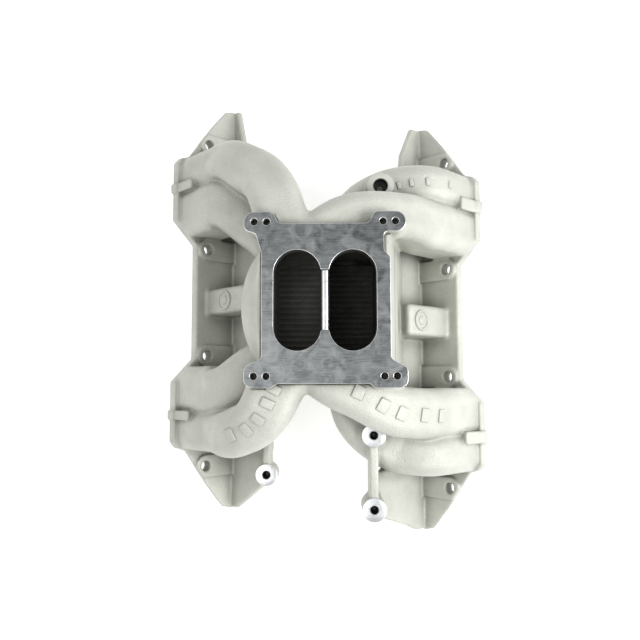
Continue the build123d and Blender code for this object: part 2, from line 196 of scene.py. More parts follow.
def outlineDistance(points, a, b):
    # signed distance to a closed outline in a plane
    best = np.full(np.broadcast(a, b).shape, 1e9, np.float32)
    sign = np.ones(best.shape, np.float32)
    for (ax, ay), (bx, by) in zip(points, points[1:] + points[:1]):
        ex, ey = bx - ax, by - ay
        wx, wy = a - ax, b - ay
        share = np.clip((wx * ex + wy * ey) / (ex * ex + ey * ey), 0, 1)
        best = np.minimum(best, (wx - ex * share) ** 2 + (wy - ey * share) ** 2)
        above, below = b >= ay, b < by
        left = ex * wy > ey * wx
        crossing = (above & below & left) | (~above & ~below & ~left)
        sign = np.where(crossing, -sign, sign)
    return sign * np.sqrt(best)


# bodies in a bank's own frame: height runs up the flange slope from the crease,
# inward leaves the flange back, and along is from the bank's middle
def bankFrame(name, x, y, z):
    out = sides[name] * x - flange["creaseX"]
    up = z - flange["creaseZ"]
    return (out + up) * diagonal, (up - out) * diagonal, y - bankY[name]


def bankPoint(name, height, inward, along=0.0):
    out = flange["creaseX"] + (height - inward) * diagonal
    up = flange["creaseZ"] + (height + inward) * diagonal
    return np.array((sides[name] * out, bankY[name] + along, up))


def bankBox(name, heights, inwards, alongs):
    points = [bankPoint(name, h, i, a) for h in heights for i in inwards for a in alongs]
    return np.min(points, axis=0), np.max(points, axis=0)


def bankBlock(name, heights, inwards, alongs, radius):
    def shape(x, y, z):
        values = bankFrame(name, x, y, z)
        limits = (heights, inwards, alongs)
        return roundOff([between(value, *limit) for value, limit in zip(values, limits)], radius)
    return shape


def bankSlab(name, points, inwards, radius, flat="height"):
    # an outline in (height, along) or (inward, along), with a thickness the other way
    def shape(x, y, z):
        h, i, a = bankFrame(name, x, y, z)
        face, depth = (h, i) if flat == "height" else (i, h)
        return roundOff([outlineDistance(points, face, a), between(depth, *inwards)], radius)
    return shape


def bankHole(name, height, along, radius):
    def shape(x, y, z):
        h, i, a = bankFrame(name, x, y, z)
        return np.sqrt((h - height) ** 2 + (a - along) ** 2) - radius
    return shape


# runners
# each station: plan place, plan heading, height of the middle, fall of the heading, width, depth
runnerEnds = {1: ("right", -1, -1), 3: ("right", -1, 1), 5: ("right", 1, -1), 7: ("right", 1, 1),
              2: ("left", -1, -1), 4: ("left", -1, 1), 6: ("left", 1, -1), 8: ("left", 1, 1)}
runners = {
    "wall": 5.5,
    "corner": 15.0,
    "passageCorner": 11.0,
    "samples": 64,
    "neck": (106, -96, -0.85, 61),              # out, height, fall, depth
    "mouthDepth": 61, "mouthInward": -1.0,
    "outerPair": {"width": 41, "shift": 0},     # runner next to the end of a bank
    "innerPair": {"width": 51, "shift": -9.5},  # runner next to the middle, spread towards it
    "high": (8, 2, 3, 5),
    "routes": {
        8: [(-26, 36, -0.1, 1, -36, 0, 52, 52), (-45.5, 92, -0.26, 1, -37, -0.06, 51, 53),
            (-70, 131, -0.85, 0.5, -51, -0.45, 47, 54)],
        2: [(-26, -42, -0.1, -1, -36, 0, 52, 52), (-50, -88, -0.42, -1, -37, -0.06, 52, 53),
            (-74, -119, -0.9, -0.42, -50, -0.45, 48, 54)],
        3: [(-18, -48, 0.45, -0.9, -36, 0, 50, 52), (24, -83, 0.93, -0.38, -37, -0.1, 50, 53),
            (72, -105, 1, -0.15, -57, -0.6, 49, 55)],
        5: [(-18, 42, 0.45, 0.9, -36, 0, 50, 52), (22, 78, 0.94, 0.3, -37, -0.1, 50, 53),
            (72, 86, 1, 0.06, -57, -0.6, 46, 55)],
        4: [(-26, -30, -0.85, -0.45, -78, 0, 46, 46), (-70, -62, -0.88, -0.42, -85, -0.2, 50, 48)],
        6: [(-26, 38, -0.75, 0.6, -78, 0, 46, 46), (-70, 84, -0.8, 0.6, -85, -0.2, 50, 48)],
        1: [(20, -40, 0.05, -1, -84, 0, 46, 42), (30, -104, 0.3, -1, -86, -0.05, 50, 46),
            (66, -141, 0.92, -0.4, -89, -0.25, 47, 50)],
        7: [(20, 36, 0.05, 1, -84, 0, 46, 42), (31, 92, 0.35, 1, -86, -0.05, 50, 46),
            (66, 120, 0.92, 0.36, -89, -0.25, 47, 50)],
    },
}


def portAlong(number):
    bank, pairSide, portSide = runnerEnds[number]
    return pairSide * flange["pair"] + portSide * flange["portOffset"]


def runnerLine(number, passage=False):
    # smooth line of a runner from the plenum to the flange back, with its width and depth on the way
    name, pairSide, portSide = runnerEnds[number]
    side = sides[name]
    pair = runners["outerPair"] if pairSide == portSide else runners["innerPair"]
    along = portAlong(number) + (0 if passage else pairSide * pair["shift"])
    width = pair["width"]
    stations = []
    for x, y, hx, hy, z, fall, across, depth in runners["routes"][number]:
        stations.append((np.array((x, y, z), float), np.array((hx, hy, fall), float), across, depth))
    out, neckHeight, fall, depth = runners["neck"]
    y = bankY[name] + along
    stations.append((np.array((side * out, y, neckHeight), float), np.array((side, 0, fall)), width, depth))
    mouth = bankPoint(name, flange["portHeight"], runners["mouthInward"], along)
    stations.append((mouth, np.array((side, 0, -1.0)), width, runners["mouthDepth"]))
    places, headings, widths, depths = [], [], [], []
    perSpan = runners["samples"] // (len(stations) - 1)
    for (p0, h0, w0, d0), (p1, h1, w1, d1) in zip(stations, stations[1:]):
        reach = np.linalg.norm(p1 - p0)
        m0, m1 = h0 / np.linalg.norm(h0) * reach, h1 / np.linalg.norm(h1) * reach
        for t in np.arange(perSpan) / perSpan:
            a, b = 2 * t**3 - 3 * t**2 + 1, t**3 - 2 * t**2 + t
            c, d = -2 * t**3 + 3 * t**2, t**3 - t**2
            places.append(a * p0 + b * m0 + c * p1 + d * m1)
            headings.append((6*t*t - 6*t) * (p0 - p1) + (3*t*t - 4*t + 1) * m0 + (3*t*t - 2*t) * m1)
            ease = t * t * (3 - 2 * t)
            widths.append(w0 + (w1 - w0) * ease)
            depths.append(d0 + (d1 - d0) * ease)
    places.append(stations[-1][0])
    headings.append(stations[-1][1])
    widths.append(stations[-1][2])
    depths.append(stations[-1][3])
    headings = np.array(headings)
    headings /= np.linalg.norm(headings, axis=1)[:, None]
    across = np.cross(headings, (0, 0, 1.0))
    across /= np.linalg.norm(across, axis=1)[:, None]
    above = np.cross(across, headings)
    return np.array(places), headings, across, above, np.array(widths), np.array(depths)


def runnerField(number, passage=False):
    # distance to the outside of a runner, or to its passage, over its part of the grid
    places, headings, across, above, widths, depths = runnerLine(number, passage)
    reach = max(widths.max(), depths.max()) / 2 + 4
    part, x, y, z = cellsIn(places.min(axis=0) - reach, places.max(axis=0) + reach, 4 * step)
    shape = distance[part].shape
    points = np.stack([np.broadcast_to(v, shape).ravel() for v in (x, y, z)], axis=1).astype(np.float32)
    best = np.full(len(points), 1e9, np.float32)
    which = np.zeros(len(points), np.int32)
    for index, place in enumerate(places.astype(np.float32)):
        gap = points - place
        size = np.einsum("ij,ij->i", gap, gap)
        closer = size < best
        best[closer] = size[closer]
        which[closer] = index
    gap = points - places[which]
    ahead = np.einsum("ij,ij->i", gap, headings[which])
    spacing = np.linalg.norm(places[1:] - places[:-1], axis=1).mean()
    share = np.clip(ahead / spacing, -0.5, 0.5)
    after = np.clip(which + 1, 0, len(places) - 1)
    before = np.clip(which - 1, 0, len(places) - 1)
    other = np.where(share > 0, after, before)
    weight = np.abs(share)[:, None]
    side = across[which] * (1 - weight) + across[other] * weight
    up = above[which] * (1 - weight) + above[other] * weight
    middle = places[which] * (1 - weight) + places[other] * weight
    gap = points - middle
    a = np.abs(np.einsum("ij,ij->i", gap, side))
    b = np.abs(np.einsum("ij,ij->i", gap, up))
    width = widths[which] * (1 - weight[:, 0]) + widths[other] * weight[:, 0]
    depth = depths[which] * (1 - weight[:, 0]) + depths[other] * weight[:, 0]
    beyond = np.where(which == 0, -ahead, np.where(which == len(places) - 1, ahead, -1e3))
    wall, corner = (runners["wall"], runners["passageCorner"]) if passage else (0, runners["corner"])
    halfWidth = width / 2 - wall
    halfDepth = depth / 2 - wall
    if passage:
        portDepth, portWidth = flange["port"]
        halfWidth = np.minimum(halfWidth, portWidth / 2 + 2 * (1 - which / len(places)))
        halfDepth = np.minimum(halfDepth, portDepth / 2)
    body = roundOff([a - halfWidth, b - halfDepth], corner)
    return part, np.maximum(body, beyond).reshape(shape).astype(np.float32)


carburettorFace = {
    "outline": [   # (x, y, corner radius), with an ear at each corner
        (-75, 80.9, 9.3), (-48, 80.9, 6), (-43, 69.8, 6), (41, 69.8, 6), (46, 80.9, 6), (75, 80.9, 9.3),
        (75, 61.9, 9), (54.8, 61.9, 4), (54.8, 44, 4), (60.4, 38, 4), (60.4, -56, 5), (75.5, -63.5, 8),
        (75.5, -82.3, 8), (45, -82.3, 4), (41, -78.3, 4), (-44, -78.3, 4), (-50, -82.3, 4),
        (-74.5, -82.3, 9), (-74.5, -62.5, 9), (-58.6, -56, 5), (-58.6, 42, 4), (-64, 60, 4), (-75, 64, 6),
    ],
    "throatWidth": 43.8, "throatLength": 93.4, "throatY": -1.6, "throatX": 25.6, "landRise": 3.4,
    "edge": 0.45,
}

print("building the casting")
blends = {"highRunner": 6.0, "lowRunner": 3.5, "flange": 1.0, "rib": 0.6, "pad": 0.5, "web": 4.0}

# plenum
padLow, padHigh = boxOf("carburettor_flange")
padThickness = padHigh[2] - padLow[2]
upperLow, upperHigh = boxOf("upper_plenum_floor")
lowerLow, lowerHigh = boxOf("lower_plenum_floor")
dividerSide = boxOf("plenum_divider")[1][0]
plenum = {
    "wallOutline": [(-62, -10), (59, -10), (83, -128), (62, -109), (-62, -109)],   # (x, z)
    "front": -75, "rear": 67, "split": -59, "rounding": 9,
    "cheekCentre": (-42, -3.5, -50), "cheekRadii": (41, 66, 46),
}


def plenumBody(keepAbove):
    def shape(x, y, z):
        ways = [outlineDistance(plenum["wallOutline"], x, z), between(y, plenum["front"], plenum["rear"])]
        body = roundOff(ways, plenum["rounding"])
        cut = plenum["split"] - z if keepAbove else z - plenum["split"]
        return np.maximum(body, cut)
    return shape


plenumLow = (-66, plenum["front"], -132)
plenumHigh = (88, plenum["rear"], -8)
add("upper_plenum_wall", plenumLow, plenumHigh, plenumBody(True), 0.5)
add("lower_plenum_wall", plenumLow, plenumHigh, plenumBody(False), 0.5)
cheekLow = np.array(plenum["cheekCentre"]) - plenum["cheekRadii"]
cheekHigh = np.array(plenum["cheekCentre"]) + plenum["cheekRadii"]
add("upper_plenum_wall", cheekLow, cheekHigh, barrel(plenum["cheekCentre"], plenum["cheekRadii"]), 6.0)

# runners
for number in (8, 2, 3, 5, 4, 6, 1, 7):
    part, outer = runnerField(number)
    name = f"runner_{number}"
    owners.append(name)
    closer = outer < nearest[part]
    nearest[part] = np.where(closer, outer, nearest[part])
    owner[part] = np.where(closer, owners.index(name), owner[part])
    radius = blends["highRunner"] if number in runners["high"] else blends["lowRunner"]
    distance[part] = blendLow(distance[part], outer, radius)
print("runners placed")

# head flanges, webs and corner lugs
rim = [(-flange["webThickness"], flange["tip"]), (flange["tipTop"], flange["tip"]),
       (12, 223.5), (32, 200), (48, 178),   # the ear runs down past its bolt hole
       (flange["earRoot"], flange["blockHalf"] + 4), (flange["top"] - 5, flange["blockHalf"] + 1.5),
       (flange["top"], flange["blockHalf"] - 5), (flange["top"], flange["shoulderHalf"]),
       (flange["waistTop"], flange["waistHalf"])]
rim = rim + [(h, -a) for h, a in reversed(rim)]
lugStart = 160.0
lugWebs = {   # outline of each sloping web past the runners: (inward, along)
    "front_left": [(62, 184), (50.5, 199), (9, 225)],
    "rear_left": [(22, 168), (17, 187), (7, 225)],
    "front_right": [(82, 196), (66, 206), (28, 218), (12, 225)],
    "rear_right": [(34, 162), (29.7, 191), (12, 225)],
}
for name in sides:
    wallBox = bankBox(name, (-8, 1), (-5, 68), (-lugStart, lugStart))
    wall = bankBlock(name, (-flange["webThickness"], 0), (-4, 66), (-lugStart, lugStart), 2.0)
    add(f"{name}_valley_wall", *wallBox, wall, blends["web"])
    for end, sign in (("front", -1), ("rear", 1)):
        points = lugWebs[f"{end}_{name}"]
        outline = [(-4, lugStart - 4), (points[0][0], lugStart - 4)] + points + [(-4, points[-1][1])]
        outline = [(i, a * sign) for i, a in outline]
        webBox = bankBox(name, (-8, 1), (-5, 80), (lugStart * sign, flange["tip"] * sign))
        web = bankSlab(name, outline, (-flange["webThickness"], 0), 2.0, flat="inward")
        add(f"{end}_{name}_lug", *webBox, web, blends["web"])
    inwards = (-flange["thickness"], 0)
    box = bankBox(name, (-8, 80), inwards, (-230, 230))
    whole = bankSlab(name, rim, inwards, 1.2)

    def middlePart(x, y, z, name=name, whole=whole):
        a = y - bankY[name]
        return np.maximum(whole(x, y, z), np.abs(a) - lugStart)
    add(f"{name}_head_flange", *box, middlePart, blends["flange"])
    for end, sign in (("front", -1), ("rear", 1)):

        def endPart(x, y, z, name=name, whole=whole, sign=sign):
            h, i, a = bankFrame(name, x, y, z)
            drafted = (outlineDistance(rim, h, a) - flange["earDraft"] * i) * 0.93
            return np.maximum(np.maximum(whole(x, y, z), drafted), lugStart - a * sign)
        add(f"{end}_{name}_lug", *box, endPart, blends["flange"])
print("flanges and webs placed")

# saddles that carry each pair of runners on the valley wall
for name in sides:
    for sign in (-1, 1):
        along = sorted((sign * (flange["pair"] - 32), sign * (flange["pair"] + 32)))
        box = bankBox(name, (-2, 18), (-2, 62), along)
        saddle = bankBlock(name, (-2, 18), (-2, 60), along, 4.0)
        add(f"{name}_valley_wall", *box, saddle, 6.0, bias=3.0)

# ribs that divide each port pair, and the raised bolt pads
ribs = {"half": {"left": 5.0, "right": 6.6}, "top": 78.0, "tongueTop": 76.0, "reach": 26.0, "depth": 14.0}
for name in sides:
    for sign in (-1, 1):
        half = ribs["half"][name]
        along = sorted((sign * flange["pair"] - half, sign * flange["pair"] + half))
        heights = (flange["top"] - ribs["depth"], ribs["top"])
        inwards = (-flange["thickness"], ribs["reach"])
        rib = bankBlock(name, heights, (-flange["thickness"], 1.5), along, 1.0)
        tongue = bankBlock(name, (heights[0], ribs["tongueTop"]), inwards, along, 1.0)
        box = bankBox(name, heights, inwards, along)
        add(f"{name}_divider_ribs", *box, rib, blends["rib"])
        add(f"{name}_divider_ribs", *box, tongue, blends["rib"])
    for which in ("front_far", "front_near", "rear_near", "rear_far"):
        place = placeOf(f"{name}_bolt_{which}")
        height, inward, along = bankFrame(name, *place)
        radius = flange["padRadius"]

        def padShape(x, y, z, name=name, height=height, along=along, radius=radius):
            h, i, a = bankFrame(name, x, y, z)
            up = np.clip(h, 0, height)
            edge = np.sqrt((h - up) ** 2 + (a - along) ** 2) - radius
            edge = np.where(h < 0, np.abs(a - along) - radius, edge)
            edge = np.maximum(edge, outlineDistance(rim, h, a) + 0.4)
            return np.maximum(np.maximum(edge, i - flange["padRise"]), np.maximum(-i - 4, -h - 1))
        box = bankBox(name, (-2, height + radius), (-4, 4), (along - radius, along + radius))
        add(f"{name}_bolt_pads", *box, padShape, blends["pad"])

# heat crossover
crossover = {
    "top": 36.0, "half": {"left": 14.0, "right": 16.5}, "reach": 66.0,
    "ductLow": -134.0, "ductHigh": -108.0, "ductHalf": 16.0, "ductReach": 88, "ductWall": 6, "ductRound": 3,
    "port": (18.0, 14.0, 20.0),   # height up the slope, opening along the slope, opening along the bank
}
for name in sides:
    half = crossover["half"][name]
    box = bankBox(name, (-2, crossover["top"]), (-2, crossover["reach"]), (-half, half))
    block = bankBlock(name, (-2, crossover["top"]), (-2, crossover["reach"]), (-half, half), 4.5)
    add(f"{name}_heat_crossover", *box, block, 4.5)


def crossDuct(half, lowZ, highZ, reach):
    def shape(x, y, z):
        share = np.clip(x / 90, -1, 1)
        middle = bankY["left"] + (bankY["right"] - bankY["left"]) * (share + 1) / 2
        body = roundOff([np.abs(y - middle) - half, between(z, lowZ, highZ)], crossover["ductRound"])
        return np.maximum(body, np.abs(x) - reach)
    return shape


ductReach = crossover["ductReach"]
ductLow, ductHigh = crossover["ductLow"], crossover["ductHigh"]
ductBody = crossDuct(crossover["ductHalf"], ductLow, ductHigh, ductReach)
ductFrom, ductTo = (-ductReach, -40, ductLow), (ductReach, 40, ductHigh)
add("centre_heat_crossover", ductFrom, ductTo, ductBody, 4.0)

# bosses and their webs
bosses = {
    "fillet": 4.0,
    "inset": 0.5,        # the turned cap stands proud of the cast post by this much
    "posts": {           # mount, radius, foot
        "bracket_boss_upper": ("bracket_upper_hole", 11.6, -90),
        "bracket_boss_lower": ("bracket_lower_hole", 11.6, -104),
        "front_left_boss": ("front_left_hole", 11.0, -118),
        "vacuum_boss": ("vacuum_port", 13.7, -84),
    },
}
bossTops = {name: boxOf(name)[1][2] for name in bosses["posts"]}
for name, (mount, radius, foot) in bosses["posts"].items():
    place = placeOf(mount)
    top = bossTops[name] - 3 * bosses["inset"]
    post = uprightPost(place, foot, top, radius - bosses["inset"])
    add(name, *postBox(place, foot, top, radius), post, bosses["fillet"], bias=-1.0)
upper, lower = placeOf("bracket_upper_hole"), placeOf("bracket_lower_hole")
strip = {
    "half": 4.2, "drop": 2.0, "round": 1.2, "fillet": 2.5,
    "foot": -108, "leftFoot": -114, "leftLength": 42,
}


def uprightPlate(name, a, b, foot, top):
    lowCorner = (min(a[0], b[0]) - strip["half"], min(a[1], b[1]), foot)
    highCorner = (max(a[0], b[0]) + strip["half"], max(a[1], b[1]), top)
    centre = (np.array(lowCorner) + highCorner) / 2
    half = (np.array(highCorner) - lowCorner) / 2
    add(name, lowCorner, highCorner, roundedBlock(centre, half, strip["round"]), strip["fillet"])


uprightPlate("bracket_boss_web", lower, upper, strip["foot"], bossTops["bracket_boss_lower"] - strip["drop"])
leftEnd = placeOf("front_left_hole")
leftTop = bossTops["front_left_boss"] - strip["drop"]
leftRear = leftEnd + np.array((0, strip["leftLength"], 0))
uprightPlate("front_left_boss_web", leftEnd, leftRear, strip["leftFoot"], leftTop)

# columns under the corner ears of the carburettor face
ear = {"radius": 9.4, "foot": -34.0, "top": -padThickness, "overlap": 4, "margin": 10, "fillet": 6.0}
stud = mounts["square_bore_studs"]["dims"]
spread = mounts["spread_bore_studs"]["dims"]
for signX in (-1, 1):
    for signY in (-1, 1):
        y = signY * stud["spacing_y_mm"] / 2
        inner = signX * spread["spacing_x_mm"] / 2
        outer = signX * stud["spacing_x_mm"] / 2

        def earShape(x, y0, z, y=y, inner=inner, outer=outer):
            nearX = np.clip(x, min(inner, outer), max(inner, outer))
            across = np.sqrt((x - nearX) ** 2 + (y0 - y) ** 2) - ear["radius"]
            return np.maximum(across, np.maximum(ear["foot"] - z, z - ear["top"] - ear["overlap"]))
        margin = ear["margin"]
        lowCorner = (min(inner, outer) - margin, y - margin, ear["foot"])
        highCorner = (max(inner, outer) + margin, y + margin, ear["top"] + ear["overlap"])
        add("upper_plenum_wall", lowCorner, highCorner, earShape, ear["fillet"])
print("crossover, bosses and ears placed")

# hollows
for number in runnerEnds:
    part, inner = runnerField(number, passage=True)
    distance[part] = -blendLow(-distance[part], inner, 1.0)
cavities = [
    ((upperLow[0], upperLow[1], upperLow[2]), (upperHigh[0], upperHigh[1], -padThickness + 6), 4.0),
    ((dividerSide, lowerLow[1], lowerLow[2] + 4), (lowerHigh[0], lowerHigh[1], -padThickness + 6), 4.0),
    ((lowerLow[0], lowerLow[1], lowerLow[2] + 4), (lowerHigh[0], lowerHigh[1], upperLow[2]), 3.0),
]
for lowCorner, highCorner, rounding in cavities:
    centre = (np.array(lowCorner) + highCorner) / 2
    half = (np.array(highCorner) - lowCorner) / 2
    carve(lowCorner, highCorner, roundedBlock(centre, half, rounding))


def underFace(x, y, z):
    # the casting stops at the underside of the carburettor face, inside its outline
    corners = [(a, b) for a, b, radius in carburettorFace["outline"]]
    return np.maximum(outlineDistance(corners, x, y), -padThickness - z)


carve((-80, -86, -padThickness), (80, 86, 2), underFace, 0.4)
portHeight, portSlope, portWidth = crossover["port"]
for name in sides:
    heights = (portHeight - portSlope / 2, portHeight + portSlope / 2)
    box = bankBox(name, heights, (-14, 40), (-portWidth / 2, portWidth / 2))
    carve(*box, bankBlock(name, heights, (-14, 36), (-portWidth / 2, portWidth / 2), 2.0))
    for which in ("front_far", "front_near", "rear_near", "rear_far"):
        height, inward, along = bankFrame(name, *placeOf(f"{name}_bolt_{which}"))
        box = bankBox(name, (height - 7, height + 7), (-14, 8), (along - 7, along + 7))
        hole = bankHole(name, height, along, flange["holeRadius"])
        carve(*box, hole, 0.6)
    for number, (bank, pairSide, portSide) in runnerEnds.items():
        if bank == name:
            along = portAlong(number)
            depth, width = flange["port"]
            heights = (flange["portHeight"] - depth / 2, flange["portHeight"] + depth / 2)
            acrossPort = (along - width / 2, along + width / 2)
            box = bankBox(name, heights, (-14, 0), acrossPort)
            carve(*box, bankBlock(name, heights, (-16, -0.5), acrossPort, 5.5), 0.5)
ductWall, hollowReach = crossover["ductWall"], ductReach - 2
ductHollow = crossDuct(crossover["ductHalf"] - ductWall, ductLow + ductWall, ductHigh - ductWall, hollowReach)
carve((-hollowReach, -30, ductLow + 2), (hollowReach, 30, ductHigh - 2), ductHollow)
for name, (mount, radius, foot) in bosses["posts"].items():
    place = placeOf(mount)
    dims = mounts[mount]["dims"]
    top = bossTops[name]
    hole = uprightPost(place, top - dims["length_mm"] - 1, top + 8, dims["r_mm"] + 1, 0.3)
    carve(*postBox(place, top - dims["length_mm"] - 1, top + 8, dims["r_mm"] + 1), hole, 0.6)
print("hollows cut")


def tidySections(labels, rounds=2):
    # a cell that differs from all but one of its metal neighbours joins the section around it
    shifts = [(axis, way) for axis in range(3) for way in (-1, 1)]
    for turn in range(rounds):
        around = np.stack([np.roll(labels, way, axis) for axis, way in shifts])
        same = np.sum((around == labels) & (labels > 0), axis=0)
        lonely = np.argwhere((labels > 0) & (same <= 1))
        near = around[:, lonely[:, 0], lonely[:, 1], lonely[:, 2]]
        votes = np.stack([np.sum((near == pick) & (pick > 0), axis=0) for pick in near])
        best = near[np.argmax(votes, axis=0), np.arange(len(lonely))]
        keep = labels[lonely[:, 0], lonely[:, 1], lonely[:, 2]]
        labels[lonely[:, 0], lonely[:, 1], lonely[:, 2]] = np.where(np.max(votes, axis=0) > 0, best, keep)
    return labels


# the field turned into one closed mesh per section
def skin():
    metal = distance < 0
    labels = tidySections(np.where(metal, owner, 0).astype(np.uint8))
    cells = counts - 1
    vertexOf = np.full(cells, -1, np.int32)
    offsets = {0: [(0, -1, -1), (0, 0, -1), (0, 0, 0), (0, -1, 0)],
               1: [(-1, 0, -1), (-1, 0, 0), (0, 0, 0), (0, 0, -1)],
               2: [(-1, -1, 0), (0, -1, 0), (0, 0, 0), (-1, 0, 0)]}
    changes = []
    for axis in range(3):
        first = [slice(1, -1)] * 3
        second = [slice(1, -1)] * 3
        first[axis] = slice(0, -1)
        second[axis] = slice(1, None)
        differ = labels[tuple(first)] != labels[tuple(second)]
        index = np.argwhere(differ)
        for other in range(3):
            if other != axis:
                index[:, other] += 1
        ahead = index.copy()
        ahead[:, axis] += 1
        changes.append((axis, index, ahead))
        for offset in offsets[axis]:
            corner = index + offset
            vertexOf[corner[:, 0], corner[:, 1], corner[:, 2]] = 0
    used = np.argwhere(vertexOf == 0)
    vertexOf[used[:, 0], used[:, 1], used[:, 2]] = np.arange(len(used))
    total = np.zeros((len(used), 3))
    hits = np.zeros(len(used))
    for axis, index, ahead in changes:
        a = distance[index[:, 0], index[:, 1], index[:, 2]]
        b = distance[ahead[:, 0], ahead[:, 1], ahead[:, 2]]
        crossing = (a < 0) != (b < 0)
        at = index[crossing].astype(float)
        at[:, axis] += a[crossing] / (a[crossing] - b[crossing])
        for offset in offsets[axis]:
            corner = index[crossing] + offset
            number = vertexOf[corner[:, 0], corner[:, 1], corner[:, 2]]
            hits += np.bincount(number, minlength=len(used))
            for k in range(3):
                total[:, k] += np.bincount(number, weights=at[:, k], minlength=len(used))
    surface = hits > 0
    spots = used + 0.5
    spots[surface] = total[surface] / hits[surface, None]
    quads, fronts, backs = [], [], []
    for axis, index, ahead in changes:
        loop = []
        for offset in offsets[axis]:
            corner = index + offset
            loop.append(vertexOf[corner[:, 0], corner[:, 1], corner[:, 2]])
        quads.append(np.stack(loop, axis=1))
        fronts.append(labels[index[:, 0], index[:, 1], index[:, 2]])
        backs.append(labels[ahead[:, 0], ahead[:, 1], ahead[:, 2]])
    return spots, surface, np.concatenate(quads), np.concatenate(fronts), np.concatenate(backs)


def sample(values, spots):
    base = np.clip(np.floor(spots).astype(int), 0, counts - 2)
    share = spots - base
    result = 0
    for dx in (0, 1):
        for dy in (0, 1):
            for dz in (0, 1):
                nearX = np.abs(1 - dx - share[:, 0])
                nearY = np.abs(1 - dy - share[:, 1])
                nearZ = np.abs(1 - dz - share[:, 2])
                weight = nearX * nearY * nearZ
                result = result + weight * values[base[:, 0] + dx, base[:, 1] + dy, base[:, 2] + dz]
    return result


spots, surface, quads, fronts, backs = skin()
slopes = np.gradient(distance)
normals = np.zeros_like(spots)
for turn in range(2):
    here = spots[surface]
    slope = np.stack([sample(s, here) for s in slopes], axis=1)
    size = np.maximum(np.einsum("ij,ij->i", slope, slope), 1e-3)
    move = slope * (sample(distance, here) / size)[:, None]
    spots[surface] = here - np.clip(move, -0.4, 0.4)
slope = np.stack([sample(s, spots[surface]) for s in slopes], axis=1)
normals[surface] = slope / np.maximum(np.linalg.norm(slope, axis=1), 1e-6)[:, None]
spots = (low + spots * step) * mm
print("casting skinned:", len(quads), "faces")


def meshFrom(name, points, faces, loopNormals=None):
    mesh = bpy.data.meshes.new(name)
    mesh.vertices.add(len(points))
    mesh.vertices.foreach_set("co", points.astype(np.float32).ravel())
    mesh.loops.add(faces.size)
    mesh.loops.foreach_set("vertex_index", faces.astype(np.int32).ravel())
    mesh.polygons.add(len(faces))
    mesh.polygons.foreach_set("loop_start", (np.arange(len(faces)) * 4).astype(np.int32))
    mesh.polygons.foreach_set("use_smooth", np.ones(len(faces), bool))
    mesh.update(calc_edges=True)
    if loopNormals is not None:
        mesh.normals_split_custom_set(loopNormals)
    piece = bpy.data.objects.new(name, mesh)
    bpy.context.scene.collection.objects.link(piece)
    return piece


castPieces = {}
for code, name in enumerate(owners):
    if code == 0:
        continue
    front = fronts == code
    back = backs == code
    faces = np.concatenate([quads[front], quads[back][:, ::-1]])
    if not len(faces):
        print("no metal in", name)
        continue
    bare = np.concatenate([backs[front] == 0, fronts[back] == 0])
    numbers, compact = np.unique(faces, return_inverse=True)
    compact = compact.reshape(faces.shape)
    points = spots[numbers]
    corner = points[compact]
    flat = np.cross(corner[:, 2] - corner[:, 0], corner[:, 3] - corner[:, 1])
    flat /= np.maximum(np.linalg.norm(flat, axis=1), 1e-12)[:, None]
    loopNormals = np.where(bare[:, None, None], normals[faces], flat[:, None, :])
    castPieces[name] = meshFrom("cast_" + name, points, compact, loopNormals.reshape(-1, 3))
print("sections made:", len(castPieces))


# materials: shared effects are groups that put out values only
def newGroup(name, inputs, outputs):
    group = bpy.data.node_groups.new(name, "ShaderNodeTree")
    for title, value in inputs.items():
        socket = group.interface.new_socket(name=title, in_out="INPUT", socket_type="NodeSocketFloat")
        socket.default_value = value
    for title in outputs:
        group.interface.new_socket(name=title, in_out="OUTPUT", socket_type="NodeSocketFloat")
    return group, group.nodes.new("NodeGroupInput"), group.nodes.new("NodeGroupOutput")


def mathNode(tree, operation, a, b):
    node = tree.nodes.new("ShaderNodeMath")
    node.operation = operation
    for index, value in enumerate((a, b)):
        if isinstance(value, (int, float)):
            node.inputs[index].default_value = value
        else:
            tree.links.new(value, node.inputs[index])
    return node.outputs[0]


def noiseNode(tree, vector, scale, detail, roughness=0.5, distortion=0.0):
    node = tree.nodes.new("ShaderNodeTexNoise")
    node.inputs["Scale"].default_value = scale
    node.inputs["Detail"].default_value = detail
    node.inputs["Roughness"].default_value = roughness
    node.inputs["Distortion"].default_value = distortion
    tree.links.new(vector, node.inputs["Vector"])
    return node.outputs["Fac"]


def rampNode(tree, value, low, high, lowOut=0.0, highOut=1.0):
    node = tree.nodes.new("ShaderNodeMapRange")
    for title, number in (("From Min", low), ("From Max", high), ("To Min", lowOut), ("To Max", highOut)):
        node.inputs[title].default_value = number
    tree.links.new(value, node.inputs["Value"])
    return node.outputs["Result"]


